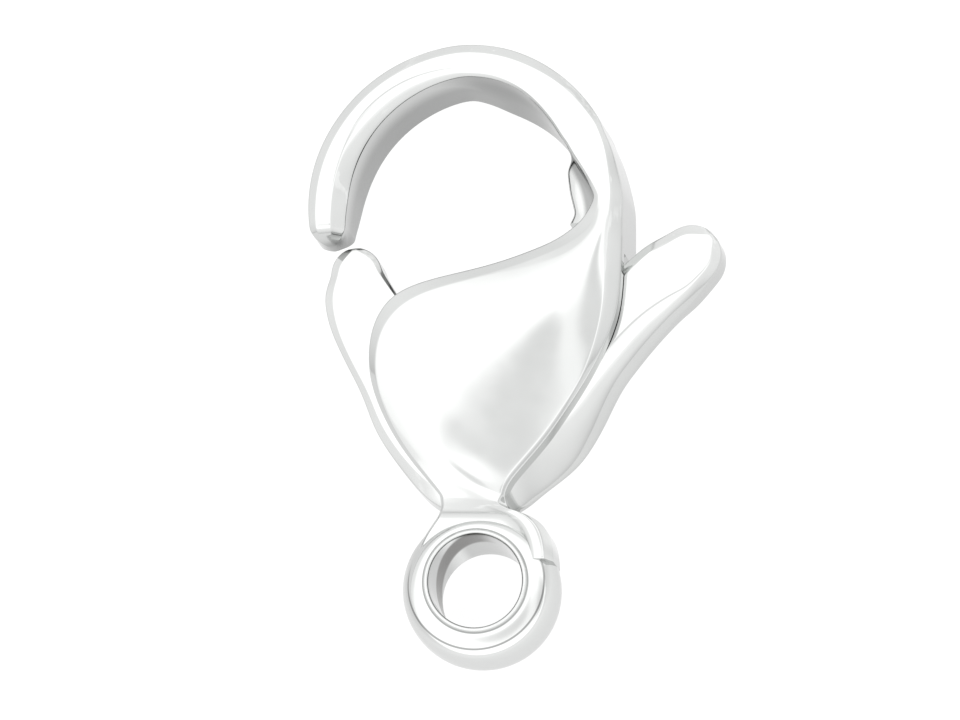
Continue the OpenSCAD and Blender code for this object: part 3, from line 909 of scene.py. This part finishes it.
# Brightness of the walls from the floor, 0.5, up to overhead, 1
UPPER_WALL = ((0.60, 0.66), (0.72, 0.76), (0.85, 0.80), (0.93, 0.97), (1.0, 1.0))
NEAR_WALL = ((0.50, 0.50), (0.53, 0.56)) + UPPER_WALL
FAR_WALL = ((0.50, 0.12), (0.515, 0.12), (0.54, 0.54)) + UPPER_WALL
FAR_WALL_FROM = (0.15, 0.6)
# Each grey place: the way to it, how many degrees from there it is even and how many it
# reaches, and how much light is left in it
GREY_PLACES = (
    ((-0.030, 0.045, 0.9985), 1.5, 7.5, 0.60),
    ((0.145, 0.050, 0.988), 2.0, 8.0, 0.82),
    ((0.128, -0.19, 0.973), 2.0, 10.0, 0.90),
    ((0.310, 0.095, 0.946), 2.0, 10.0, 0.60),
)
ROOM_LIGHT = 1.68
BOX_AT = (-0.06, 0.09, 0.6)
BOX_WIDE = 1.0
BOX_GLOW = 0.15

world = bpy.data.worlds.new("studio")
bpy.context.scene.world = world
world.use_nodes = True
room = world.node_tree
look = room.nodes.new("ShaderNodeTexCoord").outputs["Generated"]
way = split(room, look, ("x", "y", "z"))


def wall(levels):
    height = room.nodes.new("ShaderNodeMapRange")
    height.inputs["From Min"].default_value = -1.0
    height.inputs["From Max"].default_value = 1.0
    room.links.new(way["z"], height.inputs["Value"])
    ramp = room.nodes.new("ShaderNodeValToRGB")
    room.links.new(height.outputs["Result"], ramp.inputs["Fac"])
    stops = ramp.color_ramp.elements
    stops[0].position, stops[0].color = levels[0][0], (levels[0][1],) * 3 + (1,)
    stops[1].position, stops[1].color = levels[-1][0], (levels[-1][1],) * 3 + (1,)
    for at, level in levels[1:-1]:
        stops.new(at).color = (level, level, level, 1)
    return ramp.outputs["Color"]


shade = lay_over(room, ease(room, way["y"], *FAR_WALL_FROM), wall(NEAR_WALL), wall(FAR_WALL))
for toward, even, reach, left in GREY_PLACES:
    close = room.nodes.new("ShaderNodeVectorMath")
    close.operation = "DOT_PRODUCT"
    close.inputs[1].default_value = toward
    room.links.new(look, close.inputs[0])
    dim = ease(room, close.outputs["Value"], math.cos(math.radians(reach)),
               math.cos(math.radians(even)), 1.0, left)
    dimmed = room.nodes.new("ShaderNodeVectorMath")
    dimmed.operation = "SCALE"
    room.links.new(shade, dimmed.inputs[0])
    room.links.new(dim, dimmed.inputs["Scale"])
    shade = dimmed.outputs["Vector"]
room.links.new(shade, room.nodes["Background"].inputs["Color"])
room.nodes["Background"].inputs["Strength"].default_value = ROOM_LIGHT

bpy.ops.object.light_add(type="AREA", location=BOX_AT)
box = bpy.context.object
box.name = "soft_box"
box.data.shape = "DISK"
box.data.size = BOX_WIDE
disk_area = math.pi * (BOX_WIDE / 2) ** 2
box.data.energy = math.pi * disk_area * BOX_GLOW


# Camera at the photograph's angle: a little to the right of straight above the clasp's front,
# and a little below it

CAMERA_WAY = Vector((0.12783, -0.19000, 0.97343)).normalized()
CAMERA_AIM = Vector((0.0000659, 0.0043575, 0.0008418))
CAMERA_AWAY = 0.46154
LENS = 900
FILM_WIDE = 36
SEEN_FROM = 0.001
SEEN_TO = 10

right = Vector((CAMERA_WAY.z, 0.0, -CAMERA_WAY.x)).normalized()
up = CAMERA_WAY.cross(right)
bpy.ops.object.camera_add(location=CAMERA_AIM + CAMERA_WAY * CAMERA_AWAY)
camera = bpy.context.object
camera.name = "photo_camera"
camera.rotation_euler = Matrix((right, up, CAMERA_WAY)).transposed().to_euler()
camera.data.lens = LENS
camera.data.sensor_width = FILM_WIDE
camera.data.clip_start = SEEN_FROM
camera.data.clip_end = SEEN_TO
bpy.context.scene.camera = camera
bpy.context.scene.view_settings.view_transform = "Standard"
bpy.context.scene.view_settings.look = "None"
